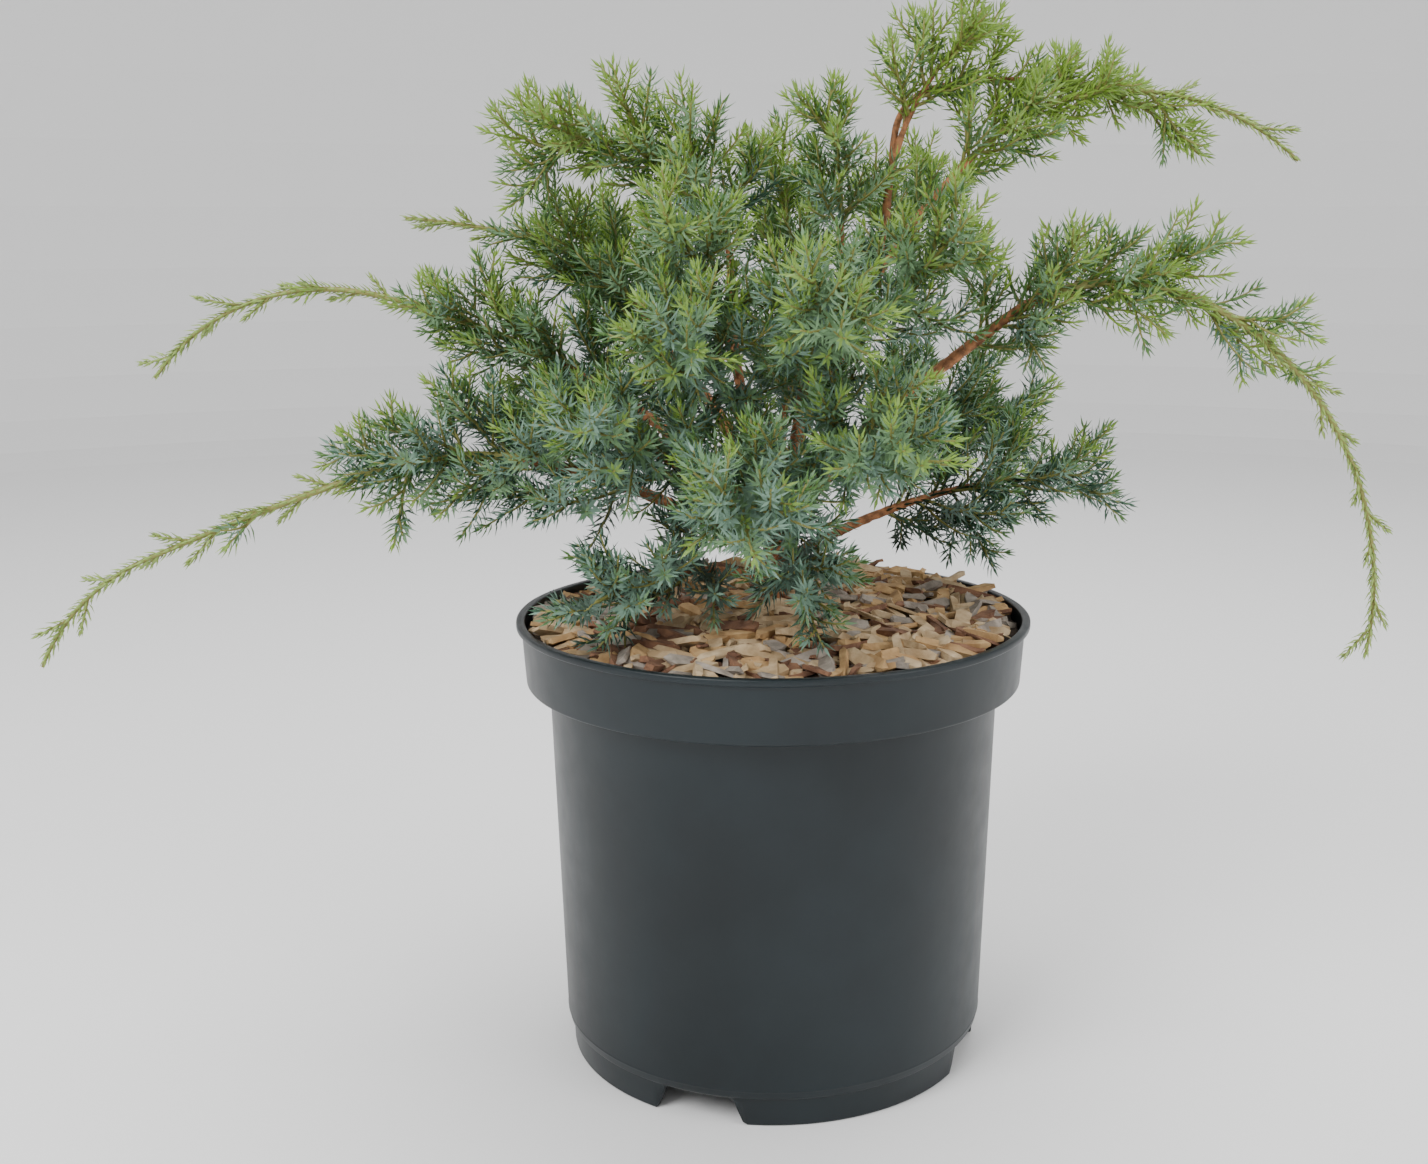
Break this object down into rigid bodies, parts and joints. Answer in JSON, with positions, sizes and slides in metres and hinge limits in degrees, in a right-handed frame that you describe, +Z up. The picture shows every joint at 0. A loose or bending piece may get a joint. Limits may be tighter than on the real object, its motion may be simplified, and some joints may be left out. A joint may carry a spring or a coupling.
{
  "type": "potted juniper",
  "caption": "Young blue alps Chinese juniper with arching needled boughs, in a dark round nursery pot mulched with bark chips",
  "frame": {"origin": "centre of the pot's flat underside, on the ground", "axes": "+X to the right in the picture, +Y away from the camera, +Z up"},
  "size_m": [0.7185, 0.3732, 0.5654],
  "materials": {
    "pot_plastic": "satin dark slate moulded plastic with light scuffs",
    "potting_compost": "dark peat compost under buff and brown bark chips",
    "juniper_bark": "thin flaking orange brown bark",
    "juniper_needles": "blue green needles, yellow green at the fresh tips",
    "whip_shoots": "yellow green young shoots with short needles"
  },
  "bodies": {
    "root": {"bough_back_centre": "juniper_bark", "bough_back_high": "juniper_bark", "bough_back_left_high": "juniper_bark", "bough_back_left_low": "juniper_bark", "bough_back_low": "juniper_bark", "bough_back_right_low": "juniper_bark", "bough_front_centre": "juniper_bark", "bough_front_left": "juniper_bark", "bough_front_low_left": "juniper_bark", "bough_front_low_right": "juniper_bark", "bough_front_right": "juniper_bark", "bough_front_upper": "juniper_bark", "bough_front_upper_left": "juniper_bark", "bough_leader": "juniper_bark", "bough_left_arch": "juniper_bark", "bough_left_upper": "juniper_bark", "bough_lower_left": "juniper_bark", "bough_right_arch": "juniper_bark", "bough_right_low": "juniper_bark", "bough_upper_left": "juniper_bark", "compost": "potting_compost", "foliage_back_centre": "juniper_needles", "foliage_back_high": "juniper_needles", "foliage_back_left_high": "juniper_needles", "foliage_back_left_low": "juniper_needles", "foliage_back_low": "juniper_needles", "foliage_back_right_high": "juniper_needles", "foliage_back_right_low": "juniper_needles", "foliage_front_centre": "juniper_needles", "foliage_front_left": "juniper_needles", "foliage_front_low_left": "juniper_needles", "foliage_front_low_right": "juniper_needles", "foliage_front_right": "juniper_needles", "foliage_front_upper": "juniper_needles", "foliage_front_upper_left": "juniper_needles", "foliage_leader": "juniper_needles", "foliage_left_arch": "juniper_needles", "foliage_left_upper": "juniper_needles", "foliage_lower_left": "juniper_needles", "foliage_right_arch": "juniper_needles", "foliage_right_front": "juniper_needles", "foliage_right_low": "juniper_needles", "foliage_top_centre": "juniper_needles", "foliage_top_front": "juniper_needles", "foliage_top_right": "juniper_needles", "foliage_upper_left": "juniper_needles", "foliage_upper_right": "juniper_needles", "pot": "pot_plastic", "stem": "juniper_bark", "whip_left_arch": "whip_shoots", "whip_left_upper": "whip_shoots", "whip_lower_left": "whip_shoots", "whip_right_arch": "whip_shoots", "whip_upper_right": "whip_shoots"}
  },
  "joints": []
}
